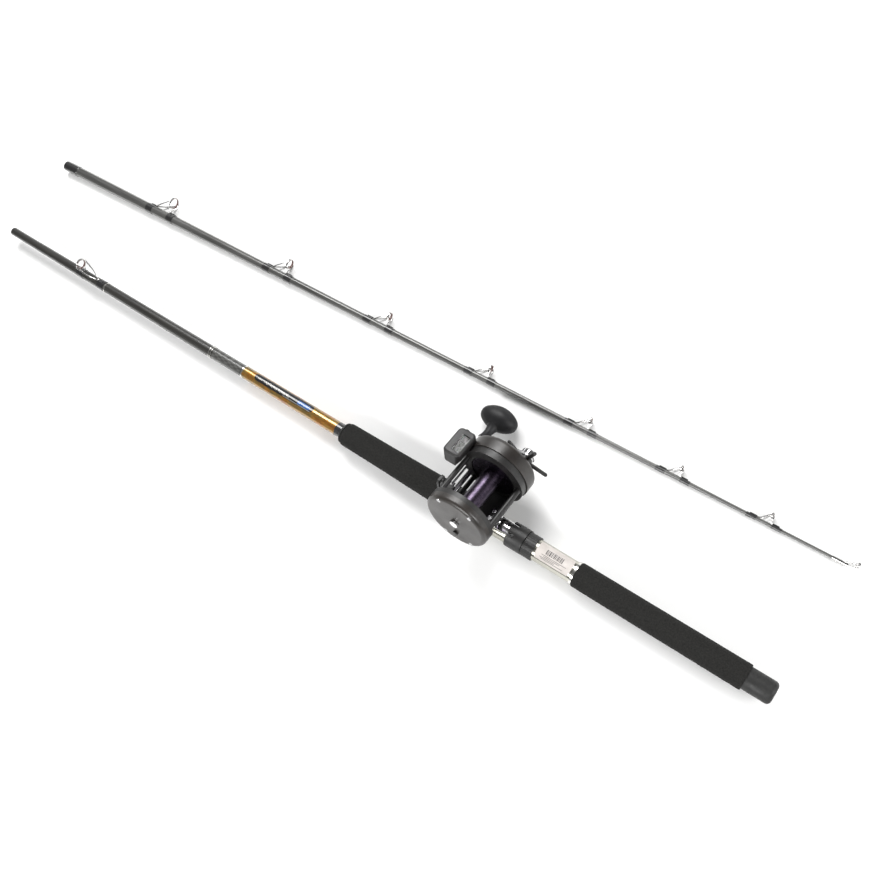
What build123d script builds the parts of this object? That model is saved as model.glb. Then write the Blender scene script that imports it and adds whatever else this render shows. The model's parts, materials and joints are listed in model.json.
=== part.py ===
"""A two-piece trolling rod with a star-drag, level-wind, line-counter reel.

The butt section lies on its fore grip with the reel mounted, rolled over until
the handle knob touches the ground. The tip section lies beside it, guides out.
Everything is in millimetres. Z is up, and X runs from the tip end to the butt.
"""
from build123d import *
from math import atan2, cos, degrees, hypot, radians, sin
import os

# ---------------------------------------------------------------- whole layout
TIP_LENGTH = 1252.0          # tip section, ferrule mouth to tip ring
MID_X = 629.6                # half the length that the two sections cover together
BUTT_Y = -67.0               # butt axis beside the middle of the layout
BUTT_Z = 17.6                # butt axis above the ground: the fore grip's radius
ROLL = 22.0                  # lean of the reel towards its handle, degrees

TIP_START = (7.5, 129.6, 7.7)    # ferrule mouth: station, distance from the butt axis, height
TIP_END_ACROSS = 159.2           # tip end, distance from the butt axis
TIP_END_HEIGHT = 3.6
TIP_ROLL = 4.0                   # guides point a little above level

# ---------------------------------------------------------------- butt section
SPIGOT_R = 6.20
SPIGOT_LENGTH = 60.0
SPIGOT_NOSE = 2.5            # bevel on the spigot's end
SPIGOT_PLUG = 10.0           # solid length inside that end
BLANK_WALL = 1.6
GRIP_BORE_R = 8.9
BUTT_TAPER = [(60.0, 6.45), (410.0, 8.0), (666.0, 8.9)]
FORE_GRIP = (666.0, 838.0, 15.25, 17.6)      # from, to, front radius, rear radius
SEAT = (838.0, 1009.0, 13.2)                 # from, to, radius
REAR_GRIP = (1009.0, 1218.0, 15.25)
CAP = (1218.0, 1250.0, 13.2)
BLANK_END = 1240.0
AMBER_WRAP = (491.0, 653.0)
WRAP_SKIN = 0.45
STRIPPER_STATION = 178.0

# ---------------------------------------------------------------- tip section
SOCKET_R = 6.23
TIP_TAPER = [
    (0, 7.1),
    (73, 7.1),
    (285, 6.15),
    (492, 5.0),
    (707, 4.0),
    (964, 2.9),
    (1113, 2.15),
    (1240, 1.6),
]
TIP_BORE = [(64, 4.4), (1000, 1.4), (1040, 0.0)]
FERRULE_WRAP_END = 28.0
GUIDE_STATIONS = [209.0, 436.0, 611.0, 771.0, 915.0, 1036.0, 1147.0]
GUIDE_RING_R = [8.3, 7.0, 5.75, 5.45, 4.25, 3.8, 3.5]
GUIDE_HEIGHTS = [22.5, 19.5, 17.0, 15.5, 14.0, 12.5, 11.5]
GUIDE_WIRE_R = [0.85, 0.8, 0.7, 0.65, 0.6, 0.55, 0.55]
RING_FRAME = 1.1             # width of the metal hoop round each ceramic ring
RING_CERAMIC = 0.9
RING_DEPTH = 2.4
FOOT_LENGTH = 9.0
FOOT_WIDTH = (-1.2, 1.2)
FOOT_THICKNESS = 0.9
TIP_RING_R = 3.5
TIP_RING_HEIGHT = 5.0

# ---------------------------------------------------------------- reel
SPOOL_STATION = 874.0        # spool axis along the butt section
SPOOL_Z = 50.0               # spool axis above the rod's axis
RING_R = 41.0                # outside of the frame's two side rings
RING_OPENING_R = 29.6
TAIL_RING = (-36.0, -30.0)   # across the reel, towards the handle is positive
GEAR_RING = (28.0, 34.0)
TAIL_FACE = -46.0
COVER_R = 42.5
COVER_FACE = 56.0
FLANGE_R = 28.5
ARBOR_R = 12.0
SHAFT_R = 3.0
HANDLE_X = 20.6              # handle axis behind the spool axis
HANDLE_Z = 57.0
KNOB_X = -43.2
KNOB_Z = 40.0
ARM_FACE = 66.5              # inner face of the handle arm
ARM_THICKNESS = 3.0
KNOB_CENTRE_Y = 104.0
KNOB_HALF_LENGTH = 25.0
KNOB_HALF_WIDTH = 15.5
KNOB_NOSE_R = 11.0
KNOB_STEM_END = 92.0         # the stem's wide end, inside the knob
GEAR_TEETH = 39
PINION_TEETH = 13
WINDER_TEETH = 12            # gears on the spool shaft and on the worm
IDLER_TEETH = 32
WINDER_MODULE = 0.77
WORM_ANGLE = 203.9           # worm's direction from the spool axis, 0 is rearward
WORM_R = 3.5
GUIDE_REST_Y = -12.0         # line guide at rest, across the reel
RUN_CLEARANCE = 0.08
FREE_CLEARANCE = 0.35
STAR_POINTS = 5
STAR_R = 32.0
COUNTER_X = (-56.0, -32.0)
COUNTER_Y = (8.0, 46.0)
COUNTER_Z = (66.0, 87.0)
DIGIT_X = -41.0
DIGIT_Z = 77.5
DIGIT_R = 6.0
DIGIT_Y = [19.0, 26.0, 33.0]

BUTT = Plane(origin=(-MID_X, BUTT_Y, BUTT_Z), x_dir=(1, 0, 0), z_dir=(0, -1, 0))
UP = Vector(0, sin(radians(ROLL)), cos(radians(ROLL)))
REEL = Plane(origin=(SPOOL_STATION - MID_X, BUTT_Y, BUTT_Z), x_dir=(1, 0, 0), z_dir=UP)
STRIPPER = Plane(origin=(-MID_X, BUTT_Y, BUTT_Z), x_dir=(1, 0, 0), z_dir=UP)

tip_mouth = Vector(TIP_START[0] - MID_X, BUTT_Y + TIP_START[1], TIP_START[2])
tip_reach = Vector(0, TIP_END_ACROSS - TIP_START[1], TIP_END_HEIGHT - TIP_START[2])
tip_run = (TIP_LENGTH**2 - tip_reach.length**2) ** 0.5
tip_along = (tip_reach + Vector(tip_run, 0, 0)).normalized()
tip_out = Vector(0, cos(radians(TIP_ROLL)), sin(radians(TIP_ROLL)))
tip_out = (tip_out - tip_along * tip_out.dot(tip_along)).normalized()
TIP = Plane(origin=tip_mouth, x_dir=tip_along, z_dir=tip_out)


def taper(points, station):
    """Radius of a tapered blank at a station, straight between its points."""
    if station <= points[0][0]:
        return points[0][1]
    for (near, near_r), (far, far_r) in zip(points, points[1:]):
        if station <= far:
            return near_r + (far_r - near_r) * (station - near) / (far - near)
    return points[-1][1]


def profile(frame):
    """The plane through a rod's axis: x along the rod, y away from the axis."""
    return Plane(origin=frame.origin, x_dir=frame.x_dir, z_dir=-frame.y_dir)


def station(frame, along):
    """The plane square to a rod's axis at a station."""
    place = frame.from_local_coords((along, 0, 0))
    return Plane(origin=place, x_dir=frame.y_dir, z_dir=frame.x_dir)


def across(y):
    """The plane square to the spool axis: x rearward, y up, facing the tail plate."""
    place = REEL.from_local_coords((0, y, 0))
    return Plane(origin=place, x_dir=REEL.x_dir, z_dir=-REEL.y_dir)


def turn(outline, frame):
    """Add a solid of revolution about a rod's axis to the part being built."""
    with BuildSketch(profile(frame)) as section:
        with BuildLine():
            Polyline(*outline, close=True)
        make_face()
    revolve(section.sketch, axis=Axis(frame.origin, frame.x_dir))


def drum(near, far, radius, x=0.0, z=SPOOL_Z, mode=Mode.ADD):
    """Add a cylinder across the reel, from one side to the other."""
    with BuildSketch(across(far)) as disc:
        with Locations((x, z)):
            Circle(radius)
    extrude(disc.sketch, amount=far - near, mode=mode)


def washer(near, far, radius, bore, x=0.0, z=SPOOL_Z):
    """Add a bored cylinder across the reel."""
    with BuildSketch(across(far)) as disc:
        with Locations((x, z)):
            Circle(radius)
            Circle(bore, mode=Mode.SUBTRACT)
    extrude(disc.sketch, amount=far - near)


def block(frame, x, y, z, mode=Mode.ADD):
    """Add a box between the given limits along a frame's three directions."""
    with BuildSketch(frame.offset(z[0])) as base:
        with Locations(((x[0] + x[1]) / 2, (y[0] + y[1]) / 2)):
            Rectangle(x[1] - x[0], y[1] - y[0])
    extrude(base.sketch, amount=z[1] - z[0], mode=mode)


def wire(start, end, radius):
    """Add a round wire with round ends between two points."""
    start = Vector(*start)
    end = Vector(*end)
    with BuildSketch(Plane(origin=start, z_dir=end - start)) as section:
        Circle(radius)
    extrude(section.sketch, amount=(end - start).length)
    with Locations(start, end):
        Sphere(radius)


def teeth(count, module, phase, bore):
    """Draw a spur gear's outline, with one tooth pointing at the phase angle."""
    pitch_r = count * module / 2
    step = 360 / count
    root_r = pitch_r - 1.2 * module
    top_r = pitch_r + 0.75 * module
    Circle(root_r)
    with PolarLocations(0, count, start_angle=phase):
        with BuildLine(mode=Mode.PRIVATE) as flank:
            half_root = root_r * sin(radians(step * 0.29))
            half_top = top_r * sin(radians(step * 0.11))
            Polyline(
                (root_r * 0.9, -half_root),
                (root_r, -half_root),
                (top_r, -half_top),
                (top_r, half_top),
                (root_r, half_root),
                (root_r * 0.9, half_root),
                close=True,
            )
        tooth = make_face(flank.edges(), mode=Mode.PRIVATE)
        add(tooth)
    Circle(bore, mode=Mode.SUBTRACT)


def mesh_phase(count, phase, direction, mate_count):
    """The phase that puts a mating gear's gap on this gear's tooth."""
    return direction + 180 - (phase - direction) * count / mate_count + 180 / mate_count


# ================================================================ butt section
with BuildPart() as butt_blank:
    nose = [(0, 0), (0, SPIGOT_R - SPIGOT_NOSE), (SPIGOT_NOSE, SPIGOT_R)]
    outer = [(SPIGOT_LENGTH, SPIGOT_R)] + BUTT_TAPER + [(BLANK_END, GRIP_BORE_R)]
    inner = [(BLANK_END, GRIP_BORE_R - 2 * BLANK_WALL), (SPIGOT_LENGTH, SPIGOT_R - BLANK_WALL)]
    plug = [(SPIGOT_PLUG, SPIGOT_R - BLANK_WALL), (SPIGOT_PLUG, 0)]
    turn(nose + outer + inner + plug, BUTT)

with BuildPart() as winding_check:
    turn([(662.5, 8.9), (666, 8.9), (666, 13.6), (664.5, 13.6), (662.5, 11.0)], BUTT)

with BuildPart() as fore_grip:
    start, end, front_r, rear_r = FORE_GRIP
    bore = [(start, GRIP_BORE_R), (end, GRIP_BORE_R)]
    turn(bore + [(end, rear_r), (start + 70, 15.9), (start, front_r)], BUTT)
    rims = fore_grip.edges().filter_by(GeomType.CIRCLE)
    front_rim = rims.filter_by(lambda e: e.radius > GRIP_BORE_R + 1 and e.center().X < start + 1 - MID_X)
    fillet(front_rim, 4.5)

with BuildPart() as fixed_hood:
    with BuildSketch(station(REEL, SEAT[0] - SPOOL_STATION)):
        with Locations((0, 0.5)):
            Circle(16.9)
        Circle(SEAT[2], mode=Mode.SUBTRACT)
    extrude(amount=14)
    fillet(fixed_hood.edges().filter_by(GeomType.CIRCLE).sort_by(Axis.X)[-1:], 1.2)
    foot_front = 842.0 - SPOOL_STATION
    block(REEL, (foot_front - 0.2, -17.0), (-9.2, 9.2), (8.2, 15.4), mode=Mode.SUBTRACT)

with BuildPart() as seat_tube:
    start, end, seat_r = SEAT
    turn([(start, GRIP_BORE_R), (end, GRIP_BORE_R), (end, seat_r), (start, seat_r)], BUTT)

with BuildPart() as rear_grip:
    start, end, grip_r = REAR_GRIP
    turn([(start, GRIP_BORE_R), (end, GRIP_BORE_R), (end, grip_r), (start, grip_r)], BUTT)
    rims = rear_grip.edges().filter_by(GeomType.CIRCLE)
    fillet(rims.filter_by(lambda e: e.radius > grip_r - 0.1), 1.5)

with BuildPart() as butt_cap:
    start, end, cap_r = CAP
    socket = [(start, GRIP_BORE_R), (BLANK_END, GRIP_BORE_R), (BLANK_END, 0)]
    turn(socket + [(end, 0), (end, cap_r), (start, cap_r)], BUTT)
    rims = butt_cap.edges().filter_by(GeomType.CIRCLE)
    fillet(rims.filter_by(lambda e: e.radius > cap_r - 0.1).sort_by(Axis.X)[-1:], 5.0)
    with BuildSketch(station(BUTT, end)):
        Circle(6.5)
        Circle(5.0, mode=Mode.SUBTRACT)
    extrude(amount=-0.8, mode=Mode.SUBTRACT)

with BuildPart() as amber_wrap:
    start, end = AMBER_WRAP
    near_r = taper(BUTT_TAPER, start)
    far_r = taper(BUTT_TAPER, end)
    skin = [(end, far_r + WRAP_SKIN), (start, near_r + WRAP_SKIN)]
    turn([(start, near_r), (end, far_r)] + skin, BUTT)

BLANK_TRIMS = [(213.5, 216.0, 0.5), (427.5, 429.0, 0.6), (430.5, 432.0, 0.6), (488.5, 491.0, 0.7)]
with BuildPart() as trim_rings:
    for start, end, skin in BLANK_TRIMS:
        near_r = taper(BUTT_TAPER, start)
        far_r = taper(BUTT_TAPER, end)
        turn([(start, near_r), (end, far_r), (end, far_r + skin), (start, near_r + skin)], BUTT)
    seat_end, seat_r = SEAT[1:]
    turn([(seat_end - 3, seat_r), (seat_end, seat_r), (seat_end, 14.6), (seat_end - 3, 14.4)], BUTT)


# ---------------------------------------------------------------- line guides
def guide_outline(height):
    """Where a guide's ring and two feet are, measured from the middle of the guide."""
    ring = 0.3 * height
    toe = ring + 3.0
    heel = ring - 1.1 * height
    return ring, toe, heel


def guide_frame(frame, middle, facing, ring_r, height, wire_r, blank_r):
    """Add a guide's wire frame; facing is +1 where the tip is at larger stations."""
    ring, toe, heel = guide_outline(height)
    ring_x = middle + facing * ring
    with BuildSketch(station(frame, ring_x - RING_DEPTH / 2)) as hoop:
        with Locations((0, height)):
            Circle(ring_r)
            Circle(ring_r - RING_FRAME, mode=Mode.SUBTRACT)
    extrude(hoop.sketch, amount=RING_DEPTH)
    for end, along in ((toe, 1), (heel, -1)):
        near = middle + facing * end
        far = middle + facing * (end + along * FOOT_LENGTH)
        seat = max(blank_r(near), blank_r(far))
        low, high = min(near, far), max(near, far)
        block(frame, (low, high), FOOT_WIDTH, (seat, seat + FOOT_THICKNESS))
    reach = ring_r - RING_FRAME / 2
    for side in (-1, 1):
        for end, lean in ((toe, 25), (heel, -20)):
            foot = middle + facing * end
            seat = blank_r(foot) + 0.5 + wire_r
            hoop_y = side * reach * cos(radians(lean))
            hoop_z = height - reach * sin(radians(abs(lean)))
            start = frame.from_local_coords((foot, side * (FOOT_WIDTH[1] - 0.4), seat))
            finish = frame.from_local_coords((ring_x, hoop_y, hoop_z))
            wire(start, finish, wire_r)
    with BuildSketch(station(frame, ring_x - 2)) as bore:
        with Locations((0, height)):
            Circle(ring_r - RING_FRAME)
    extrude(bore.sketch, amount=4, mode=Mode.SUBTRACT)


def ceramic(frame, along, height, outer_r):
    """Add the ceramic ring set in a guide's hoop."""
    with BuildSketch(station(frame, along - 1.4)) as ring:
        with Locations((0, height)):
            Circle(outer_r)
            Circle(outer_r - RING_CERAMIC, mode=Mode.SUBTRACT)
    extrude(ring.sketch, amount=2.8)


def foot_wrap(frame, middle, facing, height, blank_r):
    """Add the two thread bindings that hold a guide's feet, hollow for the feet."""
    ring, toe, heel = guide_outline(height)
    for end, along in ((toe, 1), (heel, -1)):
        near = middle + facing * (end + along * 1.2)
        far = middle + facing * (end + along * (FOOT_LENGTH + 4.0))
        low, high = min(near, far), max(near, far)
        low_r, high_r = blank_r(low), blank_r(high)
        skin = [(high, high_r + WRAP_SKIN), (low, low_r + WRAP_SKIN)]
        turn([(low, low_r), (high, high_r)] + skin, frame)
        foot_far = middle + facing * (end + along * FOOT_LENGTH)
        foot_near = middle + facing * end
        seat = max(blank_r(foot_near), blank_r(foot_far))
        cover_far = foot_far + facing * along * 0.6
        cover = (min(near, cover_far), max(near, cover_far))
        cover_width = (FOOT_WIDTH[0] - 0.5, FOOT_WIDTH[1] + 0.5)
        block(frame, cover, cover_width, (seat, seat + FOOT_THICKNESS + 0.4))
        hollow = (min(foot_near, foot_far), max(foot_near, foot_far))
        block(frame, hollow, FOOT_WIDTH, (seat, seat + FOOT_THICKNESS), mode=Mode.SUBTRACT)


def butt_r(along):
    return taper(BUTT_TAPER, along)


def tip_r(along):
    return taper(TIP_TAPER, along)


STRIPPER_HEIGHT = 25.0
STRIPPER_R = 7.8
STRIPPER_WIRE_R = 1.1

with BuildPart() as stripper_frame:
    sizes = (STRIPPER_R, STRIPPER_HEIGHT, STRIPPER_WIRE_R)
    guide_frame(STRIPPER, STRIPPER_STATION, -1, *sizes, butt_r)

with BuildPart() as stripper_ring:
    ring_along = STRIPPER_STATION - guide_outline(STRIPPER_HEIGHT)[0]
    ceramic(STRIPPER, ring_along, STRIPPER_HEIGHT, STRIPPER_R - RING_FRAME)

with BuildPart() as butt_wraps:
    foot_wrap(STRIPPER, STRIPPER_STATION, -1, STRIPPER_HEIGHT, butt_r)
    low_r, high_r = butt_r(AMBER_WRAP[1]), butt_r(662.5)
    turn([(653, low_r), (662.5, high_r), (662.5, high_r + 0.5), (653, low_r + 0.5)], BUTT)

# ================================================================ tip section
with BuildPart() as tip_blank:
    turn([(TIP_TAPER[-1][0], 0)] + TIP_TAPER[::-1] + [(0, SOCKET_R), (62, SOCKET_R)] + TIP_BORE, TIP)

with BuildPart() as ferrule_wrap:
    turn([(0, 7.1), (FERRULE_WRAP_END, 7.1), (FERRULE_WRAP_END - 1, 7.55), (0, 7.55)], TIP)

guides = []
for place, ring_r, height, wire_r in zip(GUIDE_STATIONS, GUIDE_RING_R, GUIDE_HEIGHTS, GUIDE_WIRE_R):
    with BuildPart() as guide:
        guide_frame(TIP, place, 1, ring_r, height, wire_r, tip_r)
    guides.append(guide)

with BuildPart() as tip_wraps:
    for place, height in zip(GUIDE_STATIONS, GUIDE_HEIGHTS):
        foot_wrap(TIP, place, 1, height, tip_r)

TIP_TUBE = (1224.0, 1240.0)
with BuildPart() as tip_top:
    start, end = TIP_TUBE
    bore = [(start, tip_r(start)), (end, tip_r(end))]
    turn(bore + [(end, 0), (end + 1, 0), (end + 1, 2.2), (start, 2.35)], TIP)
    with BuildSketch(station(TIP, TIP_LENGTH - 2.4)):
        with Locations((0, TIP_RING_HEIGHT)):
            Circle(TIP_RING_R)
            Circle(TIP_RING_R - 0.7, mode=Mode.SUBTRACT)
    extrude(amount=2.4)
    for side in (-1, 1):
        brace = TIP.from_local_coords((end - 4, side * 1.9, 1.5))
        wire(brace, TIP.from_local_coords((TIP_LENGTH - 1.2, side * 3.1, TIP_RING_HEIGHT + 0.4)), 0.5)
    brace = TIP.from_local_coords((end + 0.5, 0, 0))
    wire(brace, TIP.from_local_coords((TIP_LENGTH - 1.2, 0, TIP_RING_HEIGHT - 3.1)), 0.5)
    with BuildSketch(station(TIP, TIP_LENGTH - 3)):
        with Locations((0, TIP_RING_HEIGHT)):
            Circle(TIP_RING_R - 0.7)
    extrude(amount=3.5, mode=Mode.SUBTRACT)

with BuildPart() as tip_guide_rings:
    for place, ring_r, height in zip(GUIDE_STATIONS, GUIDE_RING_R, GUIDE_HEIGHTS):
        ceramic(TIP, place + guide_outline(height)[0], height, ring_r - RING_FRAME)
    with BuildSketch(station(TIP, TIP_LENGTH - 2.4)):
        with Locations((0, TIP_RING_HEIGHT)):
            Circle(TIP_RING_R - 0.7)
            Circle(TIP_RING_R - 1.3, mode=Mode.SUBTRACT)
    extrude(amount=2.4)


# ================================================================ reel seat hardware
with BuildPart() as reel_foot:
    with BuildSketch(station(REEL, foot_front)):
        Circle(15.2)
        with Locations((0, 15.2)):
            Rectangle(18, 14, mode=Mode.INTERSECT)
    extrude(amount=84)
    block(REEL, (-21, 28), (-9, 9), (12, 15.6))
    with BuildSketch(station(REEL, foot_front)):
        Circle(SEAT[2])
    extrude(amount=84, mode=Mode.SUBTRACT)
    for x in (-14, 18):
        for y in (-5, 5):
            with BuildSketch(Plane(origin=REEL.from_local_coords((x, y, 15.6)), z_dir=UP)):
                Circle(1.5)
            extrude(amount=-1.6, mode=Mode.SUBTRACT)

hood_start = 918.0 - SPOOL_STATION
with BuildPart() as sliding_hood:
    with BuildSketch(station(REEL, hood_start)):
        with Locations((0, 1.2)):
            Circle(15.6)
    extrude(amount=22)
    fillet(sliding_hood.edges().filter_by(GeomType.CIRCLE).sort_by(Axis.X)[:1], 1.0)
    with BuildSketch(station(REEL, hood_start)):
        Circle(SEAT[2] + FREE_CLEARANCE)
    extrude(amount=22, mode=Mode.SUBTRACT)
    block(REEL, (hood_start, hood_start + 9), (-9.6, 9.6), (8.2, 15.65), mode=Mode.SUBTRACT)

with BuildPart() as lock_nut:
    with BuildSketch(station(REEL, hood_start + 22.3)):
        Circle(14.9)
        Circle(SEAT[2] + FREE_CLEARANCE, mode=Mode.SUBTRACT)
        with PolarLocations(15.7, 20):
            Circle(1.2, mode=Mode.SUBTRACT)
    extrude(amount=14)

# ================================================================ reel body
gear_reach = hypot(HANDLE_X, HANDLE_Z - SPOOL_Z)
gear_module = 2 * gear_reach / (GEAR_TEETH + PINION_TEETH)
winder_reach = WINDER_MODULE * (WINDER_TEETH + IDLER_TEETH)
worm_x = winder_reach * cos(radians(WORM_ANGLE))
worm_z = SPOOL_Z + winder_reach * sin(radians(WORM_ANGLE))
idler_x = worm_x / 2
idler_z = (worm_z + SPOOL_Z) / 2
PILLARS = [(-34.0, 62.0, 3.2), (-26.5, 25.5, 3.0), (35.9, 53.0, 3.4), (29.0, 28.6, 3.0)]
BAR_X = -35.8
BAR_Z = 43.0
BAR_R = 1.6
PLATE_SCREW_ANGLES = [55, 125, 245, 305]
PLATE_SCREW_REACH = 36.0
COVER_SCREW_ANGLES = [110, 200, 290]
COVER_SCREW_REACH = 33.5
FOOT_SCREWS = [(-14, -5), (-14, 5), (18, -5), (18, 5)]


def around(reach, angles):
    """Places round the spool axis, as x and z in the reel's frame."""
    return [(reach * cos(radians(a)), SPOOL_Z + reach * sin(radians(a))) for a in angles]


with BuildPart() as reel_frame:
    washer(*TAIL_RING, RING_R, RING_OPENING_R)
    washer(*GEAR_RING, RING_R, RING_OPENING_R)
    block(REEL, (-21, 28), (TAIL_RING[1] - 1, GEAR_RING[0] + 1), (15.6, 19.4))
    for x, z, pillar_r in PILLARS:
        drum(TAIL_RING[1] - 1, GEAR_RING[0] + 1, pillar_r, x, z)
    for ring in (TAIL_RING, GEAR_RING):
        drum(*ring, WORM_R + RUN_CLEARANCE, worm_x, worm_z, mode=Mode.SUBTRACT)
        drum(*ring, BAR_R, BAR_X, BAR_Z, mode=Mode.SUBTRACT)
    for x, z in around(PLATE_SCREW_REACH, PLATE_SCREW_ANGLES):
        drum(TAIL_RING[0], TAIL_RING[0] + 4, 1.3, x, z, mode=Mode.SUBTRACT)
    for x, y in FOOT_SCREWS:
        with BuildSketch(Plane(origin=REEL.from_local_coords((x, y, 19.4)), z_dir=UP)):
            Circle(1.5)
        extrude(amount=-4, mode=Mode.SUBTRACT)

with BuildPart() as guide_bar:
    drum(TAIL_RING[0], GEAR_RING[1], BAR_R, BAR_X, BAR_Z)

with BuildPart() as tail_plate:
    drum(TAIL_FACE, TAIL_RING[0], RING_R)
    rim = tail_plate.edges().filter_by(GeomType.CIRCLE).sort_by(Axis(REEL.origin, REEL.y_dir))
    fillet(rim[:1], 5.0)
    drum(-43.2, TAIL_RING[0], 32.0, mode=Mode.SUBTRACT)
    drum(-41.3, TAIL_RING[0], 5.7, worm_x, worm_z, mode=Mode.SUBTRACT)
    drum(-43.4, -41.3, 2.0 + RUN_CLEARANCE, worm_x, worm_z, mode=Mode.SUBTRACT)
    drum(-44.0, -41.2, 9.0)
    drum(-44.8, -41.2, 6.5, mode=Mode.SUBTRACT)
    drum(TAIL_FACE, -44.8, 5.2, mode=Mode.SUBTRACT)
    drum(-44.0, -37.0, 2.0, idler_x, idler_z)
    with BuildSketch(across(-43.0)):
        with Locations((0, 28.6)):
            SlotCenterToCenter(3.0, 3.8, rotation=90)
    extrude(amount=4, mode=Mode.SUBTRACT)
    for x, z in around(PLATE_SCREW_REACH, PLATE_SCREW_ANGLES):
        drum(TAIL_FACE, TAIL_RING[0], 1.3, x, z, mode=Mode.SUBTRACT)
        drum(TAIL_FACE, TAIL_FACE + 1.8, 2.6, x, z, mode=Mode.SUBTRACT)

with BuildPart() as tension_cap:
    drum(-46.4, -45.0, 4.9)
    with BuildSketch(across(-46.4)):
        with Locations((0, SPOOL_Z)):
            RegularPolygon(5.6, 5, rotation=18)
            RegularPolygon(5.6, 5, rotation=54)
    extrude(amount=2.4)

with BuildPart() as gear_plate:
    drum(34.0, 37.0, RING_R)
    drum(34.0, 37.0, 6.5, mode=Mode.SUBTRACT)
    drum(34.6, 37.0, 4.0 + RUN_CLEARANCE, HANDLE_X, HANDLE_Z, mode=Mode.SUBTRACT)
    for z in (SPOOL_Z - 4.5, SPOOL_Z + 4.5):
        drum(36.5, 52.0, 1.2, -14.0, z)

with BuildPart() as gear_cover:
    drum(37.0, COVER_FACE, COVER_R)
    rim = gear_cover.edges().filter_by(GeomType.CIRCLE).sort_by(Axis(REEL.origin, REEL.y_dir))
    fillet(rim[-1:], 6.0)
    drum(37.0, COVER_FACE - 2.5, COVER_R - 2.5, mode=Mode.SUBTRACT)
    for x, z in around(COVER_SCREW_REACH, COVER_SCREW_ANGLES):
        drum(37.0, COVER_FACE - 2.0, 3.2, x, z)
    drum(COVER_FACE - 1.0, COVER_FACE + 2.5, 8.0, HANDLE_X, HANDLE_Z)
    drum(COVER_FACE - 3.0, COVER_FACE + 2.5, 4.0 + RUN_CLEARANCE, HANDLE_X, HANDLE_Z, mode=Mode.SUBTRACT)
    drum(COVER_FACE - 3.0, COVER_FACE, 2.0 + RUN_CLEARANCE, -10.0, 60.0, mode=Mode.SUBTRACT)
    for x, z in around(COVER_SCREW_REACH, COVER_SCREW_ANGLES):
        drum(37.0, COVER_FACE, 1.4, x, z, mode=Mode.SUBTRACT)
        drum(COVER_FACE - 1.8, COVER_FACE, 2.7, x, z, mode=Mode.SUBTRACT)

with BuildPart() as reel_screws:
    for x, z in around(PLATE_SCREW_REACH, PLATE_SCREW_ANGLES):
        drum(TAIL_FACE + 1.8, TAIL_RING[0] + 4, 1.3, x, z)
        drum(TAIL_FACE, TAIL_FACE + 1.8, 2.6, x, z)
    for x, z in around(COVER_SCREW_REACH, COVER_SCREW_ANGLES):
        drum(37.0, COVER_FACE - 1.8, 1.4, x, z)
        drum(COVER_FACE - 1.8, COVER_FACE, 2.7, x, z)
    for x, y in FOOT_SCREWS:
        with BuildSketch(Plane(origin=REEL.from_local_coords((x, y, 14.0)), z_dir=UP)):
            Circle(1.5)
        extrude(amount=5.4)
        with BuildSketch(Plane(origin=REEL.from_local_coords((x, y, 19.4)), z_dir=UP)):
            Circle(2.6)
        extrude(amount=0.9)

with BuildPart() as spool_bearings:
    washer(-44.8, -41.4, 6.5, SHAFT_R + 0.05)
    washer(34.0, 37.0, 6.5, SHAFT_R + 0.05)

# ================================================================ spool and winder
SPOOL_GEAR_PHASE = WORM_ANGLE
idler_phase = mesh_phase(WINDER_TEETH, SPOOL_GEAR_PHASE, WORM_ANGLE, IDLER_TEETH)
worm_phase = mesh_phase(IDLER_TEETH, idler_phase, WORM_ANGLE, WINDER_TEETH)
WINDER_GEARS = (-40.5, -37.6)

with BuildPart() as spool:
    washer(-33.0, -31.0, FLANGE_R, SHAFT_R)
    washer(29.0, 31.0, FLANGE_R, SHAFT_R)
    washer(-32.0, 30.0, ARBOR_R, SHAFT_R)

with BuildPart() as spool_shaft:
    drum(-44.6, 37.4, SHAFT_R)
    drum(37.4, 48.6, 2.2)
    with BuildSketch(across(WINDER_GEARS[1])):
        with Locations((0, SPOOL_Z)):
            teeth(WINDER_TEETH, WINDER_MODULE, SPOOL_GEAR_PHASE, 1.0)
    extrude(amount=WINDER_GEARS[1] - WINDER_GEARS[0])

with BuildPart() as idler_gear:
    with BuildSketch(across(WINDER_GEARS[1])):
        with Locations((idler_x, idler_z)):
            teeth(IDLER_TEETH, WINDER_MODULE, idler_phase, 2.0 + RUN_CLEARANCE)
    extrude(amount=WINDER_GEARS[1] - WINDER_GEARS[0])

with BuildPart() as worm_shaft:
    drum(TAIL_RING[0] - 0.5, GEAR_RING[1] - 0.4, WORM_R, worm_x, worm_z)
    drum(-43.2, TAIL_RING[0] - 0.5, 2.0, worm_x, worm_z)
    with BuildSketch(across(WINDER_GEARS[1])):
        with Locations((worm_x, worm_z)):
            teeth(WINDER_TEETH, WINDER_MODULE, worm_phase, 1.0)
    extrude(amount=WINDER_GEARS[1] - WINDER_GEARS[0])

with BuildPart() as line_guide:
    low_y, high_y = GUIDE_REST_Y - 6, GUIDE_REST_Y + 6
    block(REEL, (-40.0, -29.5), (low_y, high_y), (31.8, 46.2))
    block(REEL, (-46.0, -39.0), (low_y, high_y), (36.0, 44.0))
    block(REEL, (-46.0, -43.0), (low_y, high_y), (43.0, 60.0))
    fillet(line_guide.edges().filter_by(Axis(REEL.origin, REEL.x_dir)).sort_by(Axis.Z)[-2:], 3.0)
    eye = (GUIDE_REST_Y - 3.6, GUIDE_REST_Y + 3.6)
    block(REEL, (-47.0, -42.0), eye, (46.0, 57.4), mode=Mode.SUBTRACT)
    drum(low_y, high_y, WORM_R + 0.1, worm_x, worm_z, mode=Mode.SUBTRACT)
    drum(low_y, high_y, BAR_R + 0.1, BAR_X, BAR_Z, mode=Mode.SUBTRACT)

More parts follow.
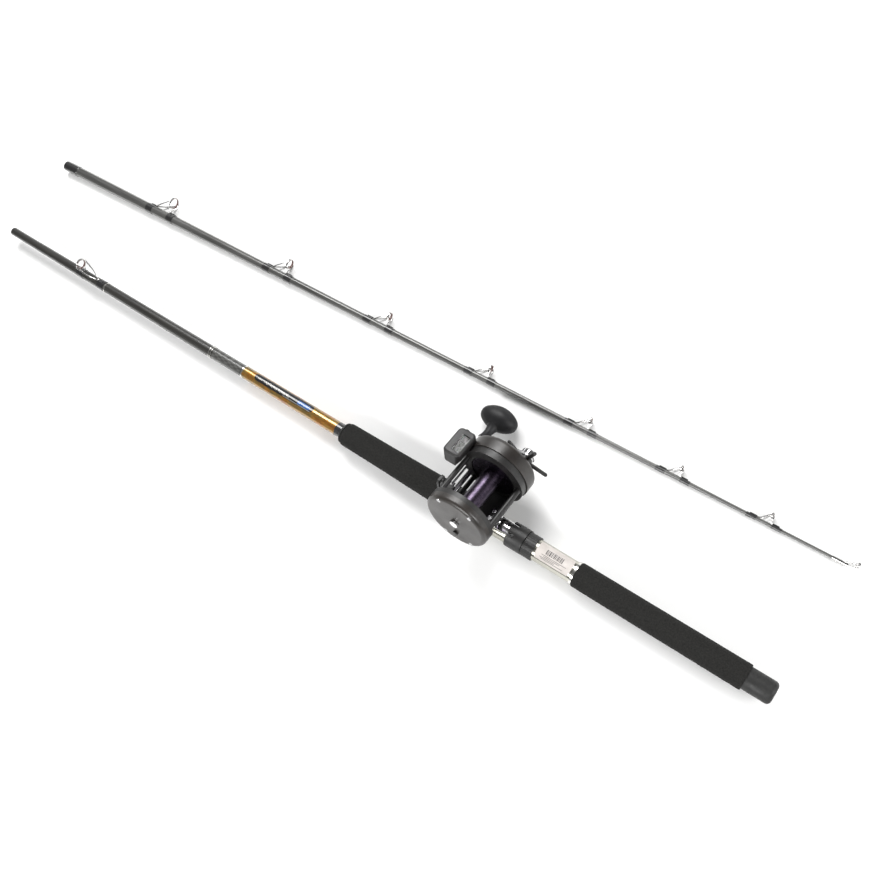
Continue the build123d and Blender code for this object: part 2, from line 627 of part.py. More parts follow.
# ================================================================ gear side
handle_direction = degrees(atan2(HANDLE_Z - SPOOL_Z, HANDLE_X))
MAIN_PHASE = handle_direction + 180
pinion_phase = mesh_phase(GEAR_TEETH, MAIN_PHASE, handle_direction + 180, PINION_TEETH)

with BuildPart() as gear_sleeve:
    drum(34.7, 74.0, 4.0, HANDLE_X, HANDLE_Z)

with BuildPart() as main_gear:
    with BuildSketch(across(43.0)):
        with Locations((HANDLE_X, HANDLE_Z)):
            teeth(GEAR_TEETH, gear_module, MAIN_PHASE, 4.0)
            with PolarLocations(9.5, 5):
                Circle(2.4, mode=Mode.SUBTRACT)
    extrude(amount=4)

with BuildPart() as drag_washers:
    for layer in range(3):
        washer(43.0 + 1.2 * layer, 44.1 + 1.2 * layer, 13.0 - 0.4 * layer, 4.0, HANDLE_X, HANDLE_Z)

with BuildPart() as ratchet:
    with BuildSketch(across(38.8)):
        with Locations((HANDLE_X, HANDLE_Z)):
            Circle(7.2)
            with PolarLocations(7.0, 10):
                RegularPolygon(1.6, 3)
            Circle(4.0, mode=Mode.SUBTRACT)
    extrude(amount=1.4)

with BuildPart() as ratchet_dog:
    block(REEL, (14.0, 23.0), (37.0, 38.8), (66.4, 69.0))
    drum(37.0, 38.8, 1.6, 12.6, 67.7)

with BuildPart() as pinion:
    with BuildSketch(across(43.4)):
        with Locations((0, SPOOL_Z)):
            teeth(PINION_TEETH, gear_module, pinion_phase, 2.3)
    extrude(amount=4.8)
    washer(43.4, 46.0, 3.6, 2.3)
    washer(46.0, 47.2, 5.0, 2.3)

with BuildPart() as pinion_yoke:
    block(REEL, (-18.0, 4.0), (44.3, 45.7), (43.5, 56.5))
    drum(44.0, 46.0, 3.95, mode=Mode.SUBTRACT)
    block(REEL, (0.0, 5.0), (44.0, 46.0), (SPOOL_Z - 3.95, SPOOL_Z + 3.95), mode=Mode.SUBTRACT)
    for z in (SPOOL_Z - 4.5, SPOOL_Z + 4.5):
        drum(44.0, 46.0, 1.5, -14.0, z, mode=Mode.SUBTRACT)

LEVER_PIVOT = (-10.0, 60.0)
LEVER_PAD = (12.0, 68.0)
with BuildPart() as free_spool_lever:
    drum(51.2, 57.0, 2.0, *LEVER_PIVOT)
    drum(51.2, 53.2, 4.0, *LEVER_PIVOT)
    with BuildSketch(across(58.6)):
        with Locations(LEVER_PIVOT):
            Circle(4.6)
        with Locations(LEVER_PAD):
            Circle(3.6)
        make_hull()
    extrude(amount=2.2)
    lean = degrees(atan2(LEVER_PAD[1] - LEVER_PIVOT[1], LEVER_PAD[0] - LEVER_PIVOT[0]))
    with BuildSketch(across(59.8)):
        for ridge in range(4):
            with Locations((LEVER_PAD[0] - 3.6 + 2.4 * ridge, LEVER_PAD[1] - 1.3 + 0.87 * ridge)):
                Rectangle(1.2, 7.0, rotation=lean)
    extrude(amount=1.6)

STAR_MIDDLE = 63.0
STAR_ARM_R = 2.3
with BuildPart() as star_drag:
    drum(60.6, 65.4, 8.5, HANDLE_X, HANDLE_Z)
    for point in range(STAR_POINTS):
        aim = radians(-9.5 - 360 / STAR_POINTS * point)
        reach = STAR_R - STAR_ARM_R
        ends = [(HANDLE_X + r * cos(aim), STAR_MIDDLE, HANDLE_Z + r * sin(aim)) for r in (7, reach)]
        wire(*[REEL.from_local_coords(end) for end in ends], STAR_ARM_R)
    drum(60.0, 66.0, 4.0 + RUN_CLEARANCE, HANDLE_X, HANDLE_Z, mode=Mode.SUBTRACT)

# ================================================================ handle
with BuildPart() as handle_arm:
    with BuildSketch(across(ARM_FACE + ARM_THICKNESS)):
        with Locations((HANDLE_X, HANDLE_Z)):
            Circle(8.5)
        with Locations((KNOB_X, KNOB_Z)):
            Circle(6.0)
        make_hull()
        with Locations((HANDLE_X, HANDLE_Z)):
            Circle(4.0, mode=Mode.SUBTRACT)
        with Locations((KNOB_X, KNOB_Z)):
            Circle(SHAFT_R, mode=Mode.SUBTRACT)
    extrude(amount=ARM_THICKNESS)

with BuildPart() as handle_nut:
    drum(69.5, 76.0, 9.5, HANDLE_X, HANDLE_Z)
    cap_rim = handle_nut.edges().filter_by(GeomType.CIRCLE).sort_by(Axis(REEL.origin, REEL.y_dir))
    fillet(cap_rim[-1:], 2.0)
    drum(69.0, 74.0, 4.0, HANDLE_X, HANDLE_Z, mode=Mode.SUBTRACT)

with BuildPart() as knob_spindle:
    drum(65.4, 66.5, 5.0, KNOB_X, KNOB_Z)
    drum(66.5, 98.0, SHAFT_R, KNOB_X, KNOB_Z)

nose_place = KNOB_HALF_LENGTH - KNOB_NOSE_R
nose_step = KNOB_HALF_WIDTH - KNOB_NOSE_R
belly_r = (nose_place**2 + KNOB_HALF_WIDTH**2 - KNOB_NOSE_R**2) / (2 * nose_step)
nose_turn = atan2(belly_r - KNOB_HALF_WIDTH, nose_place)
nose_end = (nose_place + KNOB_NOSE_R * cos(nose_turn), KNOB_NOSE_R * sin(nose_turn))
nose_middle = (nose_place + KNOB_NOSE_R * cos(nose_turn / 2), KNOB_NOSE_R * sin(nose_turn / 2))
with BuildPart() as knob:
    centre = REEL.from_local_coords((KNOB_X, KNOB_CENTRE_Y, KNOB_Z))
    with BuildSketch(Plane(origin=centre, x_dir=REEL.x_dir, z_dir=REEL.z_dir)):
        with BuildLine():
            ThreePointArc((KNOB_HALF_LENGTH, 0), nose_middle, nose_end)
            ThreePointArc(nose_end, (0, KNOB_HALF_WIDTH), (-nose_end[0], nose_end[1]))
            far_end = (-nose_end[0], nose_end[1])
            far_middle = (-nose_middle[0], nose_middle[1])
            ThreePointArc(far_end, far_middle, (-KNOB_HALF_LENGTH, 0))
            Line((-KNOB_HALF_LENGTH, 0), (KNOB_HALF_LENGTH, 0))
        make_face()
    revolve(axis=Axis(centre, REEL.x_dir))
    stem_foot = REEL.from_local_coords((KNOB_X, 0, KNOB_Z))
    with BuildSketch(Plane(origin=stem_foot, x_dir=REEL.y_dir, z_dir=-REEL.z_dir)):
        with BuildLine():
            Polyline((KNOB_STEM_END, 0), (70.0, 0), (70.0, 7.0))
            Spline((70.0, 7.0), (76.0, 5.6), (84.0, 5.9), (KNOB_STEM_END, 9.5))
            Line((KNOB_STEM_END, 9.5), (KNOB_STEM_END, 0))
        make_face()
    revolve(axis=Axis(stem_foot, REEL.y_dir))
    drum(69.0, 98.6, SHAFT_R + RUN_CLEARANCE, KNOB_X, KNOB_Z, mode=Mode.SUBTRACT)

# ================================================================ line counter
WINDOW_Y = (14.0, 38.0)
WINDOW_X = (-46.5, -35.5)
with BuildPart() as counter_housing:
    block(REEL, COUNTER_X, COUNTER_Y, COUNTER_Z)
    fillet(counter_housing.edges().filter_by(Axis(REEL.origin, REEL.z_dir)), 6.0)
    fillet(counter_housing.faces().sort_by(Axis(REEL.origin, REEL.z_dir))[-1].edges(), 3.0)
    drum(0.0, GEAR_RING[1], RING_R, mode=Mode.SUBTRACT)
    drum(GEAR_RING[1], COUNTER_Y[1] + 1, COVER_R + 0.2, mode=Mode.SUBTRACT)
    block(REEL, WINDOW_X, WINDOW_Y, (84.0, 88.0), mode=Mode.SUBTRACT)
    drum(*WINDOW_Y, DIGIT_R + 1.2, DIGIT_X, DIGIT_Z, mode=Mode.SUBTRACT)
    drum(WINDOW_Y[0] - 2, 44.0, 1.0, DIGIT_X, DIGIT_Z, mode=Mode.SUBTRACT)
    drum(42.0, COUNTER_Y[1], 3.2, -48.0, 79.0, mode=Mode.SUBTRACT)

with BuildPart() as counter_lens:
    block(REEL, WINDOW_X, WINDOW_Y, (85.4, 87.0))

wheels = []
for middle in DIGIT_Y:
    with BuildPart() as wheel:
        washer(middle - 3.1, middle + 3.1, DIGIT_R, 1.6, DIGIT_X, DIGIT_Z)
    wheels.append(wheel)

with BuildPart() as reset_button:
    drum(44.6, COUNTER_Y[1] + 3.0, 2.8, -48.0, 79.0)
    top = reset_button.edges().filter_by(GeomType.CIRCLE).sort_by(Axis(REEL.origin, REEL.y_dir))
    fillet(top[-1:], 0.8)

with BuildPart() as click_button:
    drum(-48.4, -46.4, 3.2, 0.0, 27.4)
    drum(-46.4, -39.0, 1.5, 0.0, 27.4)
    block(REEL, (-1.1, 1.1), (-40.6, -39.0), (27.4, 41.0))

# ================================================================ labels and files
pieces = {
    "butt_blank": butt_blank,
    "winding_check": winding_check,
    "fore_grip": fore_grip,
    "fixed_hood": fixed_hood,
    "seat_tube": seat_tube,
    "rear_grip": rear_grip,
    "butt_cap": butt_cap,
    "amber_wrap": amber_wrap,
    "trim_rings": trim_rings,
    "stripper_frame": stripper_frame,
    "stripper_ring": stripper_ring,
    "butt_wraps": butt_wraps,
    "tip_blank": tip_blank,
    "ferrule_wrap": ferrule_wrap,
    "tip_wraps": tip_wraps,
    "tip_top": tip_top,
    "tip_guide_rings": tip_guide_rings,
    "reel_foot": reel_foot,
    "sliding_hood": sliding_hood,
    "lock_nut": lock_nut,
    "reel_frame": reel_frame,
    "guide_bar": guide_bar,
    "tail_plate": tail_plate,
    "tension_cap": tension_cap,
    "gear_plate": gear_plate,
    "gear_cover": gear_cover,
    "reel_screws": reel_screws,
    "spool_bearings": spool_bearings,
    "spool": spool,
    "spool_shaft": spool_shaft,
    "idler_gear": idler_gear,
    "worm_shaft": worm_shaft,
    "line_guide": line_guide,
    "gear_sleeve": gear_sleeve,
    "main_gear": main_gear,
    "drag_washers": drag_washers,
    "anti_reverse_ratchet": ratchet,
    "anti_reverse_dog": ratchet_dog,
    "pinion": pinion,
    "pinion_yoke": pinion_yoke,
    "free_spool_lever": free_spool_lever,
    "star_drag": star_drag,
    "handle_arm": handle_arm,
    "handle_nut": handle_nut,
    "knob_spindle": knob_spindle,
    "handle_knob": knob,
    "counter_housing": counter_housing,
    "counter_lens": counter_lens,
    "counter_reset_button": reset_button,
    "click_button": click_button,
}
for number, guide in enumerate(guides, start=1):
    pieces[f"tip_guide_{number}"] = guide
for name, wheel in zip(("hundreds_wheel", "tens_wheel", "units_wheel"), wheels):
    pieces[name] = wheel

os.makedirs("parts", exist_ok=True)
for name, piece in pieces.items():
    piece.part.label = name
    export_step(piece.part, f"parts/{name}.step")
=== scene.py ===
# %% [markdown]
# # A trolling rod and its line-counter reel, laid out in two sections
# The rod is a hollow graphite blank in two halves. The butt half carries the foam grips, the
# metal reel seat and the reel; the tip half carries seven wire guides. The mechanical model
# already gives every part its size and its joint. This script dresses that model: it gives
# each part its finish and replaces the plainest parts with detailed ones in the same places.

# %% Load the mechanical model
import json
from math import cos, hypot, pi, radians, sin

import bmesh
import bpy
from mathutils import Matrix, Vector


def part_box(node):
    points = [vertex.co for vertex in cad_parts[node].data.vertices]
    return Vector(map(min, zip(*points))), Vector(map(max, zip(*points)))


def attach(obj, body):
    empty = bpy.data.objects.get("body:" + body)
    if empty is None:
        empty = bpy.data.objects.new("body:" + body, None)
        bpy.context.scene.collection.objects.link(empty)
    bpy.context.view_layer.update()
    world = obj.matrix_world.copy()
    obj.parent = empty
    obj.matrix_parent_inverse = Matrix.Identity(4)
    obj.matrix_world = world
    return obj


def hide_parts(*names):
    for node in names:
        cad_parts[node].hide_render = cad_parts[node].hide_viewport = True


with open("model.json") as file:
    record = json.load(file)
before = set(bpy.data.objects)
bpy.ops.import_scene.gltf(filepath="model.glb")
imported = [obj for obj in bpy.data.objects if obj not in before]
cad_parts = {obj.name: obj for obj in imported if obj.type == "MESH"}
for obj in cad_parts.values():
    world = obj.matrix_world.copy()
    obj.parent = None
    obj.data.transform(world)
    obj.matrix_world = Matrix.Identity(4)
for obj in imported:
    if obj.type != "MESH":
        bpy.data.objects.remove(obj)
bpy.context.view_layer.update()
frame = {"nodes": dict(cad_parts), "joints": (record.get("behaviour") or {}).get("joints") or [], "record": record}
nodes = frame["nodes"]
joints = {joint["name"]: joint for joint in frame["joints"]}

# %% [markdown]
# ## Directions and places
# A part is easiest to shape in its own directions: along the rod, across the reel, up from
# the rod. Typing world numbers for each part would break as soon as the model changed, so
# the directions are read from the joints, and the places from the parts' own boxes.

# %% Directions of the reel and of the two rod sections
MM = 0.001


def middle(node):
    low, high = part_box(node)
    return (low + high) / 2


def vertices_of(node):
    return [vertex.co for vertex in nodes[node].data.vertices]


along = Vector((1, 0, 0))
across = Vector(joints["line_guide_travel"]["axis"]).normalized()
rise = along.cross(across)
spool_centre = Vector(joints["spool_turn"]["pos_m"])
seat_centre = middle("seat_tube")
reel_origin = Vector((spool_centre.x, seat_centre.y, seat_centre.z))
butt_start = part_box("butt_blank")[0].x
butt_axis = Vector((butt_start, seat_centre.y, seat_centre.z))


def reel_place(x, y, z):
    """A place in the reel, in mm: back from the spool, towards the handle, up from the rod."""
    return reel_origin + (along * x + across * y + rise * z) * MM


def turned_frame(origin, axis, outward):
    """A matrix whose x runs along an axis and whose z points outward."""
    axis = axis.normalized()
    outward = (outward - axis * outward.dot(axis)).normalized()
    side = outward.cross(axis)
    matrix = Matrix((axis, side, outward)).transposed().to_4x4()
    matrix.translation = origin
    return matrix


BUTT = turned_frame(butt_axis, along, rise)
ferrule = vertices_of("ferrule_wrap")
mouth_x = min(point.x for point in ferrule)
mouth_points = [point for point in ferrule if point.x < mouth_x + 2 * MM]
tip_mouth = sum(mouth_points, Vector()) / len(mouth_points)
blank_end_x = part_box("tip_blank")[1].x
end_points = [point for point in vertices_of("tip_blank") if point.x > blank_end_x - 2 * MM]
tip_end = sum(end_points, Vector()) / len(end_points)
tip_along = (tip_end - tip_mouth).normalized()
guide_out = middle("tip_guide_1") - tip_mouth
TIP = turned_frame(tip_mouth, tip_along, guide_out)
print("spool above the rod, mm:", round((spool_centre - reel_origin).length / MM, 1))
print("tip section runs", [round(part, 4) for part in tip_along])

# %% [markdown]
# ## The camera comes first
# A long thin object looks different from every side, so the view is settled before any
# detail is made. The eye stands above the butt end and looks down and back along the rod.
# The camera's matrix is built from where the eye is, what it looks at and which way is up
# in the picture, which is clearer than three turning angles.

# %% Camera
EYE = Vector((0.5857, -0.0960, 1.0972))
LOOKS_AT = Vector((0.1433, -0.0124, 0.0))
PICTURE_TOP = Vector((-0.5502, 0.8350, 0.0))
LENS = 38.86

camera_data = bpy.data.cameras.new("camera")
camera_data.lens = LENS
camera_data.sensor_width = 36.0
camera_data.clip_start = 0.05
camera = bpy.data.objects.new("camera", camera_data)
bpy.context.scene.collection.objects.link(camera)
backwards = (EYE - LOOKS_AT).normalized()
top = (PICTURE_TOP - backwards * PICTURE_TOP.dot(backwards)).normalized()
camera.matrix_world = Matrix((top.cross(backwards), top, backwards)).transposed().to_4x4()
camera.location = EYE
bpy.context.scene.camera = camera
print("camera distance, m:", round((EYE - LOOKS_AT).length, 3))

# %% [markdown]
# ## Floor and light
# Black parts show their shape only by what they reflect. A white floor under broad soft
# lamps gives the grips and the reel a pale edge, and long lamps lay a clean streak down the
# blanks and the chrome.

# %% Floor, sky and lamps
FLOOR_SIZE = 12.0
bpy.context.scene.view_settings.view_transform = "Standard"


def paint(name, colour, roughness):
    finish = bpy.data.materials.new(name)
    finish.use_nodes = True
    shader = finish.node_tree.nodes["Principled BSDF"]
    shader.inputs["Base Color"].default_value = (*colour, 1)
    shader.inputs["Roughness"].default_value = roughness
    return finish


floor_mesh = bpy.data.meshes.new("floor")
half = FLOOR_SIZE / 2
corners = [(-half, -half, 0), (half, -half, 0), (half, half, 0), (-half, half, 0)]
floor_mesh.from_pydata(corners, [], [(0, 1, 2, 3)])
floor = bpy.data.objects.new("floor", floor_mesh)
bpy.context.scene.collection.objects.link(floor)
floor_mesh.materials.append(paint("floor_paper", (0.93, 0.93, 0.925), 0.9))

world = bpy.data.worlds.new("studio")
world.use_nodes = True
world.node_tree.nodes["Background"].inputs["Color"].default_value = (1.0, 1.0, 1.0, 1)
world.node_tree.nodes["Background"].inputs["Strength"].default_value = 0.16
bpy.context.scene.world = world


def soft_lamp(name, place, aim, width, length, watts):
    data = bpy.data.lights.new(name, "AREA")
    data.shape = "RECTANGLE"
    data.size = width
    data.size_y = length
    data.energy = watts
    lamp = bpy.data.objects.new(name, data)
    bpy.context.scene.collection.objects.link(lamp)
    lamp.location = place
    lamp.rotation_euler = (Vector(aim) - Vector(place)).to_track_quat("-Z", "Y").to_euler()


soft_lamp("key_lamp", (-1.1, 1.9, 2.3), (0.0, 0, 0), 2.0, 1.2, 105)
soft_lamp("fill_lamp", (0.4, -2.3, 1.9), (0, 0, 0), 2.4, 0.9, 80)
soft_lamp("end_lamp", (2.5, 0.5, 1.5), (0.2, 0, 0), 1.2, 1.2, 45)
print("lamps:", len(bpy.data.lights))

# %% [markdown]
# ## Building a finish
# Every finish starts from the same shader and differs in colour, gloss and grain. Grain is
# worked out from the place of the point on the object, so that it needs no unwrapping. The
# small helpers below add one thing each: a cloud, fine rings along the rod, a colour that
# varies between two others, and a bump.

# %% Finish helpers
def new_finish(name, metallic=0.0, roughness=0.5, coat=0.0, coat_roughness=0.1, specular=0.5):
    finish = bpy.data.materials.new(name)
    finish.use_nodes = True
    shader = finish.node_tree.nodes["Principled BSDF"]
    shader.inputs["Metallic"].default_value = metallic
    shader.inputs["Roughness"].default_value = roughness
    shader.inputs["Coat Weight"].default_value = coat
    shader.inputs["Coat Roughness"].default_value = coat_roughness
    shader.inputs["Specular IOR Level"].default_value = specular
    return finish


def place_socket(finish, stretch=(1, 1, 1)):
    """The point's own place, stretched along each direction."""
    tree = finish.node_tree
    coordinates = tree.nodes.new("ShaderNodeTexCoord")
    mapping = tree.nodes.new("ShaderNodeMapping")
    mapping.inputs["Scale"].default_value = stretch
    tree.links.new(coordinates.outputs["Object"], mapping.inputs["Vector"])
    return mapping.outputs["Vector"]


def cloud(finish, scale, detail=3.0, stretch=(1, 1, 1)):
    tree = finish.node_tree
    noise = tree.nodes.new("ShaderNodeTexNoise")
    noise.inputs["Scale"].default_value = scale
    noise.inputs["Detail"].default_value = detail
    tree.links.new(place_socket(finish, stretch), noise.inputs["Vector"])
    return noise.outputs["Fac"]


def pores(finish, scale):
    tree = finish.node_tree
    cells = tree.nodes.new("ShaderNodeTexVoronoi")
    cells.inputs["Scale"].default_value = scale
    tree.links.new(place_socket(finish), cells.inputs["Vector"])
    return cells.outputs["Distance"]


def rings(finish, pitch, wobble=0.0, slant=0.0):
    """Fine ridges square to the rod, one for each pitch in metres."""
    tree = finish.node_tree
    wave = tree.nodes.new("ShaderNodeTexWave")
    wave.bands_direction = "X"
    wave.inputs["Scale"].default_value = 2 * pi / (20 * pitch)
    wave.inputs["Distortion"].default_value = wobble
    mapping_socket = place_socket(finish)
    mapping_socket.node.inputs["Rotation"].default_value = (0, 0, slant)
    tree.links.new(mapping_socket, wave.inputs["Vector"])
    return wave.outputs["Fac"]


def colours(finish, socket, stops):
    """Colour the surface by a value: stops are pairs of value and colour."""
    tree = finish.node_tree
    ramp = tree.nodes.new("ShaderNodeValToRGB")
    elements = ramp.color_ramp.elements
    while len(elements) < len(stops):
        elements.new(0.5)
    for element, (value, colour) in zip(elements, stops):
        element.position = value
        element.color = (*colour, 1)
    tree.links.new(socket, ramp.inputs["Fac"])
    shader = tree.nodes["Principled BSDF"]
    tree.links.new(ramp.outputs["Color"], shader.inputs["Base Color"])
    return ramp


def roughness_range(finish, socket, low, high):
    tree = finish.node_tree
    spread = tree.nodes.new("ShaderNodeMapRange")
    spread.inputs["From Min"].default_value = 0.3
    spread.inputs["From Max"].default_value = 0.7
    spread.inputs["To Min"].default_value = low
    spread.inputs["To Max"].default_value = high
    tree.links.new(socket, spread.inputs["Value"])
    tree.links.new(spread.outputs["Result"], tree.nodes["Principled BSDF"].inputs["Roughness"])


def bump(finish, socket, depth, strength=1.0):
    """Press a value into the surface, depth in metres, on top of any bump already there."""
    tree = finish.node_tree
    shader = tree.nodes["Principled BSDF"]
    relief = tree.nodes.new("ShaderNodeBump")
    relief.inputs["Distance"].default_value = depth
    relief.inputs["Strength"].default_value = strength
    tree.links.new(socket, relief.inputs["Height"])
    if shader.inputs["Normal"].is_linked:
        earlier = shader.inputs["Normal"].links[0].from_socket
        tree.links.new(earlier, relief.inputs["Normal"])
    tree.links.new(relief.outputs["Normal"], shader.inputs["Normal"])


# %% [markdown]
# ## Graphite blanks
# A blank is graphite cloth rolled round a steel rod and baked. Tape wound over it leaves a
# faint slanted ridge every few millimetres, and the clear varnish makes it glossy. The butt
# half is painted nearly black, with a greyer band of crossed cloth ahead of the amber
# wrapping; the tip half shows the grey graphite. The band is drawn by its distance along the
# rod, so it needs no part of its own.

# %% Blank finishes
BAND = (butt_start + 0.434, butt_start + 0.487)
TAPE_PITCH = 0.0022

graphite = new_finish("graphite_varnish", roughness=0.38, coat=0.6, coat_roughness=0.2)
tree = graphite.node_tree
streaks = cloud(graphite, 260, detail=5, stretch=(0.05, 1, 1))
blank_colour = colours(graphite, streaks, [(0.3, (0.016, 0.0155, 0.014)), (0.75, (0.036, 0.035, 0.031))])
separate = tree.nodes.new("ShaderNodeSeparateXYZ")
tree.links.new(place_socket(graphite), separate.inputs["Vector"])
edges = []
for place, sign in ((BAND[0], 1), (BAND[1], -1)):
    edge = tree.nodes.new("ShaderNodeMapRange")
    edge.inputs["From Min"].default_value = place - sign * 0.0005
    edge.inputs["From Max"].default_value = place + sign * 0.0005
    tree.links.new(separate.outputs["X"], edge.inputs["Value"])
    edges.append(edge)
inside = tree.nodes.new("ShaderNodeMath")
inside.operation = "MULTIPLY"
for edge, socket in zip(edges, inside.inputs):
    tree.links.new(edge.outputs["Result"], socket)
cross_cloth = tree.nodes.new("ShaderNodeTexChecker")
cross_cloth.inputs["Scale"].default_value = 420
cross_cloth.inputs["Color1"].default_value = (0.085, 0.085, 0.08, 1)
cross_cloth.inputs["Color2"].default_value = (0.045, 0.045, 0.042, 1)
tree.links.new(place_socket(graphite, (0.4, 1, 1)), cross_cloth.inputs["Vector"])
band_mix = tree.nodes.new("ShaderNodeMix")
band_mix.data_type = "RGBA"
tree.links.new(inside.outputs["Value"], band_mix.inputs["Factor"])
tree.links.new(blank_colour.outputs["Color"], band_mix.inputs[6])
tree.links.new(cross_cloth.outputs["Color"], band_mix.inputs[7])
tree.links.new(band_mix.outputs[2], tree.nodes["Principled BSDF"].inputs["Base Color"])
bump(graphite, rings(graphite, TAPE_PITCH, slant=0.12), 0.00005, 0.5)

tip_grey = new_finish("graphite_grey", metallic=0.35, roughness=0.34, coat=0.7, coat_roughness=0.12)
tip_streaks = cloud(tip_grey, 240, detail=5, stretch=(0.06, 1, 1))
colours(tip_grey, tip_streaks, [(0.25, (0.055, 0.055, 0.052)), (0.8, (0.135, 0.135, 0.13))])
bump(tip_grey, rings(tip_grey, TAPE_PITCH, slant=0.12), 0.00005, 0.5)
print("blank finishes:", graphite.name, tip_grey.name)

# %% [markdown]
# ## Foam, rubber and moulded plastic
# The grips are closed-cell foam, ground to shape, so they are quite matt and show the cut
# cells. The butt cap and the knob are rubber: darker and smoother, with a soft sheen. The
# reel body is graphite-filled nylon, moulded with a fine spark texture that breaks its shine
# into a satin one, and handling polishes it in patches.

# %% Foam, rubber and plastic finishes
foam = new_finish("grip_foam", roughness=0.92, specular=0.25)
colours(foam, cloud(foam, 700, detail=6), [(0.3, (0.0075, 0.0075, 0.007)), (0.75, (0.022, 0.0215, 0.02))])
bump(foam, pores(foam, 1500), 0.0002, 0.55)
bump(foam, cloud(foam, 160), 0.0003, 0.35)

cap_rubber = new_finish("cap_rubber", roughness=0.6, specular=0.4)
colours(cap_rubber, cloud(cap_rubber, 300), [(0.3, (0.011, 0.011, 0.011)), (0.7, (0.02, 0.02, 0.019))])
roughness_range(cap_rubber, cloud(cap_rubber, 90), 0.45, 0.7)
bump(cap_rubber, cloud(cap_rubber, 2600, detail=2), 0.00006, 0.5)

knob_rubber = new_finish("knob_soft_touch", roughness=0.55, specular=0.35)
colours(knob_rubber, cloud(knob_rubber, 60), [(0.3, (0.008, 0.008, 0.009)), (0.75, (0.016, 0.016, 0.017))])
roughness_range(knob_rubber, cloud(knob_rubber, 45, detail=5), 0.42, 0.66)
bump(knob_rubber, cloud(knob_rubber, 3200, detail=2), 0.00005, 0.5)

reel_plastic = new_finish("reel_graphite_nylon", roughness=0.42, specular=0.5)
REEL_BLACKS = [(0.3, (0.0085, 0.0083, 0.0085)), (0.8, (0.02, 0.019, 0.018))]
colours(reel_plastic, cloud(reel_plastic, 55, detail=5), REEL_BLACKS)
roughness_range(reel_plastic, cloud(reel_plastic, 38, detail=6), 0.34, 0.55)
bump(reel_plastic, cloud(reel_plastic, 3000, detail=2), 0.00008, 0.6)

# The warm brown tint in these side-plate blacks is a painted reflection of the surroundings; the lower roughness
# and higher specular are the plate's real gloss.
glossy_plastic_with_painted_reflection = new_finish("side_plate_nylon_painted_reflection", roughness=0.36, specular=0.6)
SIDE_PLATE_BLACKS_WITH_PAINTED_REFLECTION = [(0.3, (0.0125, 0.0105, 0.0095)), (0.8, (0.03, 0.025, 0.021))]
colours(glossy_plastic_with_painted_reflection, cloud(glossy_plastic_with_painted_reflection, 40, detail=5), SIDE_PLATE_BLACKS_WITH_PAINTED_REFLECTION)
roughness_range(glossy_plastic_with_painted_reflection, cloud(glossy_plastic_with_painted_reflection, 30, detail=6), 0.28, 0.46)
bump(glossy_plastic_with_painted_reflection, cloud(glossy_plastic_with_painted_reflection, 2600, detail=2), 0.00007, 0.5)
print("foam, rubber and plastic finishes:", 5)

# %% [markdown]
# ## Metals
# The reel seat is a bright plated tube, drawn lengthwise, so its scratches run along it. The
# guides, the worm and the handle are chrome or stainless steel, nearly mirror bright, and
# the gears are cut brass. A metal takes all its colour from what it reflects, so its own
# colour is only a tint; fine stretched clouds in the roughness give the drawn look.

# %% Metal finishes
def metal(name, dark, light, low, high, stretch=(1, 1, 1), grain=900):
    finish = new_finish(name, metallic=1.0, roughness=(low + high) / 2)
    colours(finish, cloud(finish, grain / 4, stretch=stretch), [(0.3, dark), (0.7, light)])
    roughness_range(finish, cloud(finish, grain, detail=5, stretch=stretch), low, high)
    bump(finish, cloud(finish, grain * 2, detail=2, stretch=stretch), 0.00002, 0.3)
    return finish


LENGTHWISE = (0.03, 1, 1)
seat_metal = metal("seat_plating", (0.40, 0.39, 0.34), (0.56, 0.55, 0.49), 0.14, 0.3, LENGTHWISE)
trim_metal = metal("trim_silver", (0.62, 0.61, 0.58), (0.78, 0.77, 0.74), 0.16, 0.28)
guide_metal = metal("guide_stainless", (0.52, 0.52, 0.51), (0.70, 0.69, 0.68), 0.12, 0.26)
chrome = metal("chrome", (0.68, 0.68, 0.69), (0.80, 0.80, 0.80), 0.07, 0.16)
steel = metal("machined_steel", (0.40, 0.40, 0.41), (0.52, 0.52, 0.52), 0.22, 0.36)
spool_metal = metal("spool_anodised", (0.045, 0.036, 0.055), (0.085, 0.066, 0.095), 0.24, 0.4)
brass = metal("cut_brass", (0.60, 0.42, 0.16), (0.76, 0.56, 0.24), 0.22, 0.36)
print("metals:", 7)

# %% [markdown]
# ## Thread, ceramic, fibre and printed paper
# Guides are bound on with nylon thread under clear epoxy, so a binding is ridged and glassy
# at once: rough colour below, a full clear coat above. The amber wrapping is a metallic
# thread, and it shifts between gold, olive and copper along its length.

# %% Thread and small finishes
THREAD_PITCH = 0.00045

black_thread = new_finish("black_thread_epoxy", roughness=0.45, coat=1.0, coat_roughness=0.05)
THREAD_BLACKS = [(0.2, (0.004, 0.004, 0.004)), (0.9, (0.016, 0.016, 0.017))]
colours(black_thread, rings(black_thread, THREAD_PITCH), THREAD_BLACKS)

amber = new_finish("amber_thread_epoxy", metallic=0.75, roughness=0.34, coat=1.0, coat_roughness=0.06)
shift = cloud(amber, 55, detail=4, stretch=(0.7, 2.2, 2.2))
AMBER_STOPS = [
    (0.30, (0.16, 0.055, 0.018)),
    (0.43, (0.38, 0.165, 0.025)),
    (0.52, (0.34, 0.20, 0.045)),
    (0.60, (0.19, 0.135, 0.045)),
    (0.72, (0.42, 0.19, 0.03)),
]
colours(amber, shift, AMBER_STOPS)
roughness_range(amber, rings(amber, THREAD_PITCH, wobble=0.3), 0.24, 0.42)

ceramic = new_finish("ring_ceramic", roughness=0.18, coat=0.4)
colours(ceramic, cloud(ceramic, 900), [(0.3, (0.10, 0.055, 0.05)), (0.7, (0.19, 0.11, 0.10))])

